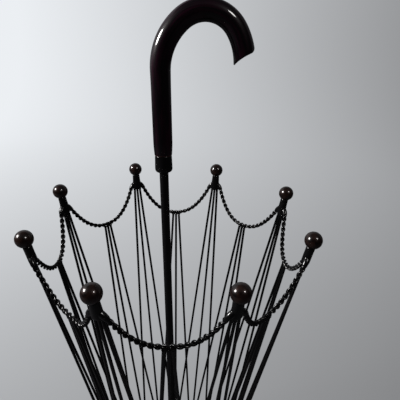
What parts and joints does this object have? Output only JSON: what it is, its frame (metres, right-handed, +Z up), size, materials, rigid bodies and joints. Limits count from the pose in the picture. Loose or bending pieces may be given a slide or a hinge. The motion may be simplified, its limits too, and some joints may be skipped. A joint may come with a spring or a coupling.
{
  "type": "umbrella stand",
  "caption": "Wire umbrella stand shaped as an upturned umbrella: crook handle on a pole, ball finials, twisted-wire swags and a footed drip pan.",
  "frame": {"origin": "on the floor under the centre of the drip pan", "axes": "+Z up; the crook opens towards +X; +Y is away from the viewer who sees the crook open to the right"},
  "size_m": [0.3338, 0.3338, 0.7568],
  "materials": {
    "black_enamel": "satin black enamel with soft gloss",
    "bronze_enamel": "glossy dark bronze",
    "lacquered_wood": "high-gloss dark red-brown lacquer",
    "zinc_steel": "zinc-plated"
  },
  "bodies": {
    "stand": {"pole": "black_enamel", "pole_top_insert": "zinc_steel", "pole_foot_insert": "zinc_steel", "base_pan": "black_enamel", "base_ring": "black_enamel", "base_washer": "zinc_steel", "base_bolt": "zinc_steel", "foot_1": "black_enamel", "foot_2": "black_enamel", "foot_3": "black_enamel", "foot_4": "black_enamel", "finial_ball_1": "bronze_enamel", "finial_ball_2": "bronze_enamel", "finial_ball_3": "bronze_enamel", "finial_ball_4": "bronze_enamel", "finial_ball_5": "bronze_enamel", "finial_ball_6": "bronze_enamel", "finial_ball_7": "bronze_enamel", "finial_ball_8": "bronze_enamel", "finial_neck_1": "black_enamel", "finial_neck_2": "black_enamel", "finial_neck_3": "black_enamel", "finial_neck_4": "black_enamel", "finial_neck_5": "black_enamel", "finial_neck_6": "black_enamel", "finial_neck_7": "black_enamel", "finial_neck_8": "black_enamel", "rim_swag_1": "black_enamel", "rim_swag_2": "black_enamel", "rim_swag_3": "black_enamel", "rim_swag_4": "black_enamel", "rim_swag_5": "black_enamel", "rim_swag_6": "black_enamel", "rim_swag_7": "black_enamel", "rim_swag_8": "black_enamel", "finial_wires_1": "black_enamel", "finial_wires_2": "black_enamel", "finial_wires_3": "black_enamel", "finial_wires_4": "black_enamel", "finial_wires_5": "black_enamel", "finial_wires_6": "black_enamel", "finial_wires_7": "black_enamel", "finial_wires_8": "black_enamel", "swag_wires_1": "black_enamel", "swag_wires_2": "black_enamel", "swag_wires_3": "black_enamel", "swag_wires_4": "black_enamel", "swag_wires_5": "black_enamel", "swag_wires_6": "black_enamel", "swag_wires_7": "black_enamel", "swag_wires_8": "black_enamel"},
    "ferrule": {"handle_ferrule": "black_enamel"},
    "handle": {"crook_handle": "lacquered_wood", "handle_stud": "zinc_steel"}
  },
  "joints": [
    {"name": "handle_rise", "type": "slide", "parent": "stand", "child": "ferrule", "axis": [-0.0183, 0, 0.9998], "range_m": [0, 0.012]},
    {"name": "handle_turn", "type": "hinge", "parent": "ferrule", "child": "handle", "pos_m": [0, 0, 0.0198], "axis": [-0.0183, 0, 0.9998], "range_deg": [0, 4320]}
  ],
  "couplings": [
    {"joint": "handle_rise", "follows": "handle_turn", "m_per_rad": 0.00015915}
  ]
}
